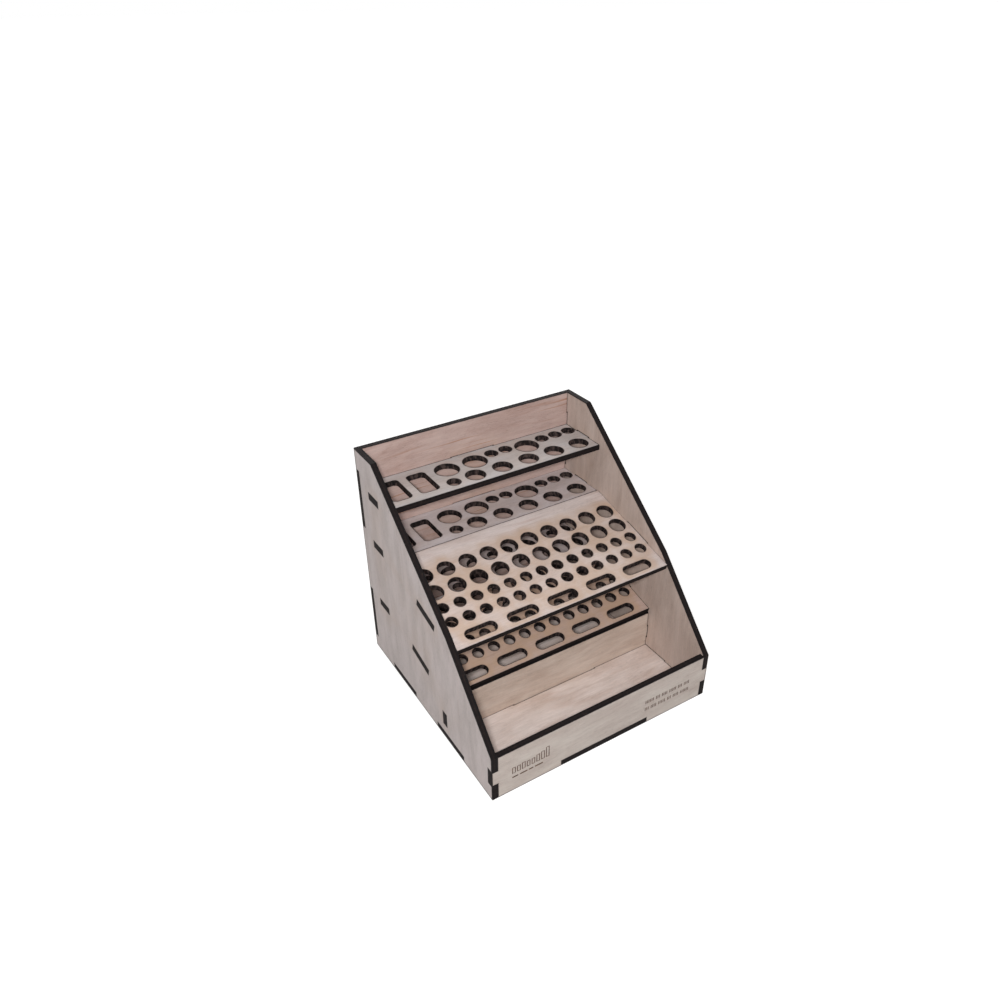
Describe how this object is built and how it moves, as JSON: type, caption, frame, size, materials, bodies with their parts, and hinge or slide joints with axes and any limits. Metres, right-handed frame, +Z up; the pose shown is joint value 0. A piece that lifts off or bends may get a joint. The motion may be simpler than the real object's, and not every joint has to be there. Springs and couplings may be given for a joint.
{
  "type": "hobby workstation organizer",
  "caption": "Desk stand of push-fit laser-cut plywood: level shelves and forward-leaning racks full of tool holes, between profiled sides, with a low open tray in front.",
  "frame": {"origin": "on the bench, under the middle of the stand's width and depth", "axes": "+Z up, +Y to the back panel, +X to the right as seen from the front"},
  "size_m": [0.18, 0.1778, 0.1755],
  "materials": {
    "birch_plywood": "raw sanded veneer with laser-burnt edges"
  },
  "bodies": {
    "root": {"left_side_panel": "birch_plywood", "right_side_panel": "birch_plywood", "back_panel": "birch_plywood", "bottom_panel": "birch_plywood", "front_panel": "birch_plywood", "tray_riser": "birch_plywood", "top_back_shelf": "birch_plywood", "middle_back_shelf": "birch_plywood", "lower_back_shelf": "birch_plywood", "middle_tool_rack": "birch_plywood", "lower_tool_rack": "birch_plywood"}
  },
  "joints": []
}
